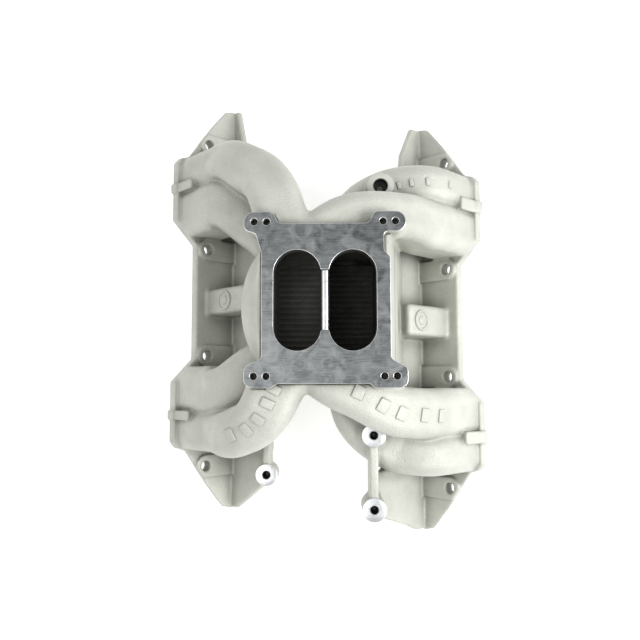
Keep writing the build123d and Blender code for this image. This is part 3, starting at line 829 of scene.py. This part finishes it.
def makeSandGrain():
    # fine sand-mould texture, with scattered pits and broad uneven tone
    group, entry, result = newGroup("sandGrain", {"Pits": 0.35}, ("Height", "Tone", "Speckle"))
    place = group.nodes.new("ShaderNodeTexCoord").outputs["Object"]
    coarse = noiseNode(group, place, 520, 3, 0.6)
    fine = noiseNode(group, place, 1900, 2, 0.55)
    pits = group.nodes.new("ShaderNodeTexVoronoi")
    pits.inputs["Scale"].default_value = 330
    group.links.new(place, pits.inputs["Vector"])
    pitDepth = rampNode(group, pits.outputs["Distance"], 0.0, 0.32, 0.0, 1.0)
    pitHeight = mathNode(group, "MULTIPLY", pitDepth, entry.outputs["Pits"])
    coarsePart = mathNode(group, "MULTIPLY", coarse, 0.6)
    finePart = mathNode(group, "MULTIPLY", fine, 0.3)
    grain = mathNode(group, "ADD", coarsePart, finePart)
    group.links.new(mathNode(group, "ADD", grain, pitHeight), result.inputs["Height"])
    broad = noiseNode(group, place, 24, 4, 0.6)
    group.links.new(rampNode(group, broad, 0.3, 0.7), result.inputs["Tone"])
    group.links.new(rampNode(group, coarse, 0.35, 0.65), result.inputs["Speckle"])
    return group


def makeCreviceShadeGroup():
    # painted shade: darkens the inner corners and creases where shadow falls, made patchy so that it is
    # uneven
    group, entry, result = newGroup("paintedCreviceShade", {"Amount": 0.6}, ("Mask",))
    wide = group.nodes.new("ShaderNodeAmbientOcclusion")
    wide.samples = 8
    wide.inputs["Distance"].default_value = 0.024
    close = group.nodes.new("ShaderNodeAmbientOcclusion")
    close.samples = 6
    close.inputs["Distance"].default_value = 0.004
    place = group.nodes.new("ShaderNodeTexCoord").outputs["Object"]
    patchy = rampNode(group, noiseNode(group, place, 60, 4, 0.6), 0.3, 0.7, 0.75, 1.0)
    # ambient occlusion becomes painted shade, broad in wide hollows and thin along tight creases
    broad = rampNode(group, mathNode(group, "SUBTRACT", 1.0, wide.outputs["AO"]), 0.1, 0.75)
    line = rampNode(group, mathNode(group, "SUBTRACT", 1.0, close.outputs["AO"]), 0.12, 0.5, 0.0, 0.7)
    shadeMask = mathNode(group, "MAXIMUM", broad, line)
    strong = mathNode(group, "MULTIPLY", mathNode(group, "MULTIPLY", shadeMask, entry.outputs["Amount"]), patchy)
    group.links.new(strong, result.inputs["Mask"])
    return group


def makeMilledMarks():
    # faint overlapping cutter arcs and cloudy patches left by milling
    group, entry, result = newGroup("milledMarks", {"Mark spacing": 900.0}, ("Height", "Cloud", "Scratch"))
    place = group.nodes.new("ShaderNodeTexCoord").outputs["Object"]
    arcs = group.nodes.new("ShaderNodeTexWave")
    arcs.wave_type = "RINGS"
    arcs.rings_direction = "Z"
    arcs.inputs["Distortion"].default_value = 2.5
    arcs.inputs["Detail"].default_value = 3
    arcs.inputs["Detail Scale"].default_value = 0.6
    shifted = group.nodes.new("ShaderNodeMapping")
    shifted.inputs["Location"].default_value = (0.11, 0.21, 0)
    group.links.new(place, shifted.inputs["Vector"])
    group.links.new(shifted.outputs[0], arcs.inputs["Vector"])
    group.links.new(entry.outputs["Mark spacing"], arcs.inputs["Scale"])
    stretched = group.nodes.new("ShaderNodeMapping")
    stretched.inputs["Rotation"].default_value = (0, 0, radians(38))
    stretched.inputs["Scale"].default_value = (60, 1500, 60)
    group.links.new(place, stretched.inputs["Vector"])
    scratch = noiseNode(group, stretched.outputs[0], 1, 3, 0.7, 0.4)
    cloud = noiseNode(group, place, 62, 5, 0.62, 1.2)
    height = mathNode(group, "ADD", mathNode(group, "MULTIPLY", arcs.outputs["Fac"], 0.5), scratch)
    group.links.new(height, result.inputs["Height"])
    group.links.new(rampNode(group, cloud, 0.32, 0.68), result.inputs["Cloud"])
    group.links.new(rampNode(group, scratch, 0.4, 0.62), result.inputs["Scratch"])
    return group


sandGrain = makeSandGrain()
paintedCreviceShade = makeCreviceShadeGroup()
milledMarks = makeMilledMarks()


def startMaterial(name):
    material = bpy.data.materials.new(name)
    material.use_nodes = True
    tree = material.node_tree
    return material, tree, tree.nodes["Principled BSDF"]


def placeGroup(tree, group, **values):
    node = tree.nodes.new("ShaderNodeGroup")
    node.node_tree = group
    for title, value in values.items():
        node.inputs[title.replace("_", " ")].default_value = value
    return node


def mixColour(tree, mask, first, second):
    node = tree.nodes.new("ShaderNodeMix")
    node.data_type = "RGBA"
    for title, value in (("Factor", mask), ("A", first), ("B", second)):
        socket = node.inputs[title]
        if isinstance(value, (tuple, int, float)):
            socket.default_value = (*value, 1) if isinstance(value, tuple) else value
        else:
            tree.links.new(value, socket)
    return node.outputs["Result"]


def bumpNode(tree, height, strength, distance):
    node = tree.nodes.new("ShaderNodeBump")
    node.inputs["Strength"].default_value = strength
    node.inputs["Distance"].default_value = distance
    tree.links.new(height, node.inputs["Height"])
    return node.outputs["Normal"]


def castMetal(name, light, dark, shadeAmount, shadeColour, metallic=0.35, roughness=(0.5, 0.66)):
    material, tree, shader = startMaterial(name)
    grain = placeGroup(tree, sandGrain)
    crevice = placeGroup(tree, paintedCreviceShade, Amount=shadeAmount)
    colour = mixColour(tree, grain.outputs["Tone"], dark, light)
    speckled = mixColour(tree, rampNode(tree, grain.outputs["Speckle"], 0, 1, 0.45, 0.0), colour, dark)
    # painted shade: the crevice mask pulls the colour towards the shade tone
    shaded = mixColour(tree, crevice.outputs["Mask"], speckled, shadeColour)
    tree.links.new(shaded, shader.inputs["Base Color"])
    shader.inputs["Metallic"].default_value = metallic
    tree.links.new(rampNode(tree, grain.outputs["Tone"], 0, 1, *roughness[::-1]), shader.inputs["Roughness"])
    tree.links.new(bumpNode(tree, grain.outputs["Height"], 0.8, 0.0011), shader.inputs["Normal"])
    return material


def milledMetal(name, light, dark, roughness=(0.3, 0.46)):
    material, tree, shader = startMaterial(name)
    marks = placeGroup(tree, milledMarks)
    colour = mixColour(tree, marks.outputs["Cloud"], dark, light)
    brighter = tuple(min(1.0, 1.35 * c) for c in light)
    scratched = mixColour(tree, rampNode(tree, marks.outputs["Scratch"], 0, 1, 0, 0.35), colour, brighter)
    tree.links.new(scratched, shader.inputs["Base Color"])
    shader.inputs["Metallic"].default_value = 1.0
    tree.links.new(rampNode(tree, marks.outputs["Cloud"], 0, 1, *roughness), shader.inputs["Roughness"])
    tree.links.new(bumpNode(tree, marks.outputs["Height"], 0.25, 0.00008), shader.inputs["Normal"])
    return material


finishes = {   # name, light and dark tone, then the amount of painted crevice shade and its tone
    "cast": castMetal("castAluminium", (0.64, 0.645, 0.59), (0.51, 0.515, 0.465), 0.95, (0.12, 0.12, 0.1)),
    # painted shade: a dark copy of the cast finish for the hollows, bores and throats that lie in shade
    "inside": castMetal(
        "shadedCasting", (0.1, 0.1, 0.088), (0.045, 0.045, 0.038), 0.7, (0.012, 0.012, 0.011)),
    # painted reflection: the milled face's tones are set far darker than bare metal so that it shows the dark
    # surroundings it would mirror; the cloudy mix between them is its own uneven tone
    "milled": milledMetal("milledFace", (0.29, 0.302, 0.3), (0.075, 0.084, 0.092)),
    "bright": milledMetal("freshCutMetal", (0.8, 0.82, 0.83), (0.62, 0.64, 0.66), (0.25, 0.36)),
}
print("finishes made")


def finishPiece(piece, nodes, slotName, *materials):
    for material in materials:
        piece.data.materials.append(finishes[material])
    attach(piece, "root")
    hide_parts(*nodes)


# painted shade: faces in the hollow of the plenum get a dark copy of the cast finish; everything else on the
# casting is bare
inside = {"x": (-60, 52), "y": (-66, 62), "z": (-106, -padThickness - 0.5)}
for name, piece in castPieces.items():
    finishPiece(piece, (name,), "cast_body", "cast", "inside")
    count = len(piece.data.polygons)
    centres = np.zeros(count * 3)
    piece.data.polygons.foreach_get("center", centres)
    centres = centres.reshape(-1, 3) / mm
    shadeMask = np.ones(count, bool)
    for axis, (start, end) in enumerate(inside.values()):
        shadeMask &= (centres[:, axis] > start) & (centres[:, axis] < end)
    if "plenum" in name or "runner" in name:
        piece.data.polygons.foreach_set("material_index", shadeMask.astype(np.int32))


def pieceFrom(name, mesh):
    piece = bpy.data.objects.new(name, mesh)
    bpy.context.scene.collection.objects.link(piece)
    return piece


def curveMesh(name, outlines, thickness, edge):
    # flat plate from closed outlines, with its top at height 0 and a small broken edge
    curve = bpy.data.curves.new(name, "CURVE")
    curve.dimensions = "2D"
    curve.fill_mode = "BOTH"
    curve.extrude = (thickness / 2 - edge) * mm
    curve.bevel_depth = edge * mm
    curve.bevel_resolution = 2
    curve.offset = -edge * mm
    for outline in outlines:
        spline = curve.splines.new("POLY")
        spline.points.add(len(outline) - 1)
        for point, (x, y) in zip(spline.points, outline):
            point.co = (x * mm, y * mm, 0, 1)
        spline.use_cyclic_u = True
    holder = bpy.data.objects.new(name, curve)
    mesh = bpy.data.meshes.new_from_object(holder)
    bpy.data.objects.remove(holder)
    bm = bmesh.new()
    bm.from_mesh(mesh)
    bmesh.ops.remove_doubles(bm, verts=bm.verts, dist=0.02 * mm)
    bmesh.ops.translate(bm, verts=bm.verts, vec=(0, 0, -thickness / 2 * mm))
    bmesh.ops.recalc_face_normals(bm, faces=bm.faces)
    bm.to_mesh(mesh)
    bm.free()
    return mesh


def arcPoints(centre, radius, start, end, steps=24):
    points = []
    for k in range(steps + 1):
        angle = start + (end - start) * k / steps
        points.append((centre[0] + radius * cos(angle), centre[1] + radius * sin(angle)))
    return points


def roundedOutline(corners, steps=7):
    # each corner is (x, y, radius); the corner is rounded with an arc
    outline = []
    for before, corner, after in zip(corners[-1:] + corners[:-1], corners, corners[1:] + corners[:1]):
        here = Vector(corner[:2])
        back = (Vector(before[:2]) - here).normalized()
        ahead = (Vector(after[:2]) - here).normalized()
        halfTurn = back.angle(ahead) / 2
        cut = corner[2] / max(sin(halfTurn) / cos(halfTurn), 1e-3)
        start, end = here + back * cut, here + ahead * cut
        centre = here + (back + ahead).normalized() * (corner[2] / sin(halfTurn))
        first, last = start - centre, end - centre
        turn = first.angle_signed(last)
        for k in range(steps + 1):
            a = -turn * k / steps
            x = first.x * cos(a) - first.y * sin(a)
            y = first.x * sin(a) + first.y * cos(a)
            outline.append((centre.x + x, centre.y + y))
    return outline


def throatOutline():
    # two long openings joined where the land between them is cut down
    spec = carburettorFace
    radius = spec["throatWidth"] / 2
    straight = spec["throatLength"] / 2 - radius
    stop = pi - atan2(spec["landRise"], sqrt(radius**2 - spec["landRise"] ** 2))
    rightTop = (spec["throatX"], spec["throatY"] + straight)
    half = arcPoints(rightTop, radius, stop, 0)
    flip = [(x, 2 * spec["throatY"] - y) for x, y in reversed(half)]
    right = half + flip
    left = [(-x, y) for x, y in reversed(right)]
    return right + left


holes = []
for pattern in ("square_bore_studs", "spread_bore_studs"):
    dims = mounts[pattern]["dims"]
    for signX in (-1, 1):
        for signY in (-1, 1):
            centre = (signX * dims["spacing_x_mm"] / 2, signY * dims["spacing_y_mm"] / 2)
            holes.append(arcPoints(centre, dims["hole_r_mm"], 0, 2 * pi * 31 / 32, 31))
outlines = [roundedOutline(carburettorFace["outline"]), throatOutline()] + holes
faceMesh = curveMesh("carburettorFace", outlines, padThickness, carburettorFace["edge"])
face = pieceFrom("milled_carburettor_face", faceMesh)
finishPiece(face, ("carburettor_flange",), "machined_face", "milled", "cast", "inside", "bright")
for polygon in faceMesh.polygons:
    centre = polygon.center / mm
    inThroat = abs(centre.x) < 50 and -50 < centre.y < 47
    if centre.z > -0.02:
        polygon.material_index = 0
    elif centre.z > -1.2 * carburettorFace["edge"]:
        polygon.material_index = 3
    else:
        # painted shade: the throat walls below the face get the dark copy of the cast finish
        polygon.material_index = 2 if inThroat and centre.z < -3 else 1
print("carburettor face made")


def lathe(name, profile, steps=64):
    # turned piece from (radius, height) points, standing on the origin
    bm = bmesh.new()
    rings = []
    for radius, height in profile:
        ring = []
        for k in range(steps):
            angle = 2 * pi * k / steps
            ring.append(bm.verts.new((radius * cos(angle) * mm, radius * sin(angle) * mm, height * mm)))
        rings.append(ring)
    for lower, upper in zip(rings, rings[1:]):
        for k in range(steps):
            bm.faces.new((lower[k], lower[(k + 1) % steps], upper[(k + 1) % steps], upper[k]))
    bm.faces.new(list(reversed(rings[0])))
    bm.faces.new(rings[-1])
    bmesh.ops.recalc_face_normals(bm, faces=bm.faces)
    mesh = bpy.data.meshes.new(name)
    bm.to_mesh(mesh)
    bm.free()
    return mesh


def shadeByAngle(mesh, degrees=35):
    for polygon in mesh.polygons:
        polygon.use_smooth = True
    mesh.set_sharp_from_angle(angle=radians(degrees))


# turned caps: a faced ring round each blind hole
for name, (mount, radius, foot) in bosses["posts"].items():
    place = placeOf(mount)
    dims = mounts[mount]["dims"]
    hole, depth, top = dims["r_mm"], dims["length_mm"], bossTops[name]
    lip = 0.7
    profile = [(radius - 2, foot + 4), (radius, foot + 6), (radius, top - lip),
               (radius - 0.25 * lip, top - 0.3 * lip), (radius - lip, top), (hole + lip, top),
               (hole, top - lip), (hole, top - depth), (0.4, top - depth - 1.5)]
    mesh = lathe(name + "Cap", profile)
    shadeByAngle(mesh)
    cap = pieceFrom(name + "_cap", mesh)
    finishPiece(cap, (name,), "cast_body", "cast", "bright", "inside")
    for vertex in mesh.vertices:
        vertex.co += Vector((place[0], place[1], 0)) * mm
    for polygon in mesh.polygons:
        height = polygon.center.z / mm
        away = sqrt((polygon.center.x / mm - place[0]) ** 2 + (polygon.center.y / mm - place[1]) ** 2)
        # painted shade: the bore walls get the dark copy of the cast finish
        if away < hole + 0.1 and height < top - lip:
            polygon.material_index = 2
        elif height > top - lip and name != "vacuum_boss":
            polygon.material_index = 1
print("boss caps made")


# blank raised bars along the crests of three runners, and plain discs on the crossover ramps
badges = {
    "front_left_badge": {"runner": 2, "shares": (0.22, 0.295, 0.37, 0.445, 0.52), "length": 9, "width": 13},
    "front_right_badge": {"runner": 3, "shares": (0.27, 0.36, 0.45, 0.54, 0.63), "length": 11, "width": 13},
    "rear_casting_marks": {"runner": 7, "shares": (0.56, 0.63, 0.7, 0.77), "length": 4.5, "width": 8},
}
badgeRise, badgeSink, badgeRound = 1.3, 2.5, 0.9


def surfaceAbove(place, direction, reach):
    # where the metal ends on the way out from a runner's middle
    ways = np.arange(0.5 * reach, reach + 8, 0.25)
    spots = (place + direction * ways[:, None] - low) / step
    inside = sample(distance, spots) < 0
    return ways[inside][-1] if inside.any() else reach



def roundedBar(bm, size, frameMatrix):
    made = bmesh.ops.create_cube(bm, size=1)["verts"]
    for vertex in made:
        vertex.co = Vector((vertex.co.x * size[0], vertex.co.y * size[1], vertex.co.z * size[2]))
    edges = list({edge for vertex in made for edge in vertex.link_edges})
    done = bmesh.ops.bevel(bm, geom=edges, offset=badgeRound * mm, segments=3, affect="EDGES", profile=0.5)
    bar = set(done["verts"])
    for vertex in bar:
        vertex.co = frameMatrix @ vertex.co


for name, spec in badges.items():
    places, headings, across, above, widths, depths = runnerLine(spec["runner"])
    bm = bmesh.new()
    for share in spec["shares"]:
        index = int(share * (len(places) - 1))
        reach = surfaceAbove(places[index], above[index], depths[index] / 2)
        crest = places[index] + above[index] * (reach + (badgeRise - badgeSink) / 2)
        axes3 = [Vector(v) for v in (headings[index], across[index], above[index])]
        turn = Matrix([(axes3[0][k], axes3[1][k], axes3[2][k]) for k in range(3)]).to_4x4()
        turn.translation = Vector(crest) * mm
        size = (spec["length"] * mm, spec["width"] * mm, (badgeRise + badgeSink) * mm)
        roundedBar(bm, size, turn)
    mesh = bpy.data.meshes.new(name + "Bars")
    bmesh.ops.recalc_face_normals(bm, faces=bm.faces)
    bm.to_mesh(mesh)
    bm.free()
    shadeByAngle(mesh, 50)
    finishPiece(pieceFrom(name + "_bars", mesh), (name,), "cast_body", "cast")

disc = {"radius": 10.8, "rim": 1.6, "rise": 1.3, "floor": 0.4}
for name in sides:
    node = f"{name}_crossover_disc"
    discLow, discHigh = boxOf(node)
    middle = (discLow + discHigh) / 2
    r, rim, rise, floorRise = disc["radius"], disc["rim"], disc["rise"], disc["floor"]
    profile = [(r, -2), (r, 0.6 * rise), (r - 0.3, 0.9 * rise), (r - 0.7, rise), (r - rim, rise),
               (r - rim - 0.5, 0.8 * rise), (r - rim - 0.8, floorRise), (r * 0.45, floorRise),
               (r * 0.45 - 0.5, 0.8 * rise), (r * 0.45 - 0.9, rise), (0.3, rise)]
    mesh = lathe(node, profile)
    up = Vector((sides[name] * 1.0, 0, 1.0)).normalized()
    along = Vector((0, 1, 0))
    turn = Matrix([(along.cross(up)[k], along[k], up[k]) for k in range(3)]).to_4x4()
    turn.translation = Vector(middle - np.array(up) * 0.7) * mm
    mesh.transform(turn)
    shadeByAngle(mesh, 50)
    finishPiece(pieceFrom(node + "_ring", mesh), (node,), "cast_body", "cast")

# sections of the casting whose shape is already right keep it, with a new finish: the divider gets fresh-cut
# metal, and the floors get the dark copy of the cast finish as painted shade
carriedFinishes = {"plenum_divider": "bright", "upper_plenum_floor": "inside", "lower_plenum_floor": "inside"}
for node, finish in carriedFinishes.items():
    carried = frame["nodes"][node]
    for material in carried.material_slots:
        material.material = finishes[finish]
print("badges, discs and floors finished")

# floor, light and camera
studio = {
    "floorSize": 6.0,
    "floorGlow": 0.5,
    "world": 0.64,
    "key": {"place": (0.75, -0.2, 0.6), "size": 0.6, "power": 9},
    "fill": {"place": (-0.45, -0.2, 1.0), "size": 0.8, "power": 3.5},
    "camera": (0.009146, -0.08116, 0.658733),
    "turn": (5.2779, 1.2081, -0.1666),
    "lens": 40.73,
}
material, tree, shader = startMaterial("paleFloor")
place = tree.nodes.new("ShaderNodeTexCoord").outputs["Object"]
paper = noiseNode(tree, place, 220, 3)
tree.links.new(mixColour(tree, paper, (0.93, 0.93, 0.93), (0.9, 0.9, 0.9)), shader.inputs["Base Color"])
shader.inputs["Roughness"].default_value = 0.9
shader.inputs["Emission Color"].default_value = (1, 1, 1, 1)
shader.inputs["Emission Strength"].default_value = studio["floorGlow"]
bm = bmesh.new()
bmesh.ops.create_grid(bm, x_segments=1, y_segments=1, size=studio["floorSize"] / 2)
floorMesh = bpy.data.meshes.new("floor")
bm.to_mesh(floorMesh)
bm.free()
floorMesh.transform(Matrix.Translation((0, 0, cadBox[0][2])))
floorMesh.materials.append(material)
pieceFrom("floor", floorMesh)

world = bpy.data.worlds.new("studio")
bpy.context.scene.world = world
world.use_nodes = True
background = world.node_tree.nodes["Background"]
background.inputs["Color"].default_value = (1, 1, 1, 1)
rays = world.node_tree.nodes.new("ShaderNodeLightPath")
# the camera alone sees a white backdrop
strength = rampNode(world.node_tree, rays.outputs["Is Camera Ray"], 0, 1, studio["world"], 1.0)
world.node_tree.links.new(strength, background.inputs["Strength"])

for title in ("key", "fill"):
    light = bpy.data.lights.new(title, "AREA")
    light.shape = "DISK"
    light.size = studio[title]["size"]
    light.energy = studio[title]["power"]
    lamp = bpy.data.objects.new(title, light)
    bpy.context.scene.collection.objects.link(lamp)
    lamp.location = studio[title]["place"]
    aim = Vector((0, 0, -0.08)) - lamp.location
    lamp.rotation_euler = aim.to_track_quat("-Z", "Y").to_euler()

lens = bpy.data.cameras.new("camera")
lens.lens = studio["lens"]
lens.clip_start = 0.01
camera = bpy.data.objects.new("camera", lens)
bpy.context.scene.collection.objects.link(camera)
camera.location = studio["camera"]
camera.rotation_euler = [radians(v) for v in studio["turn"]]
bpy.context.scene.camera = camera
bpy.context.scene.view_settings.view_transform = "Standard"
print("floor, light and camera placed")
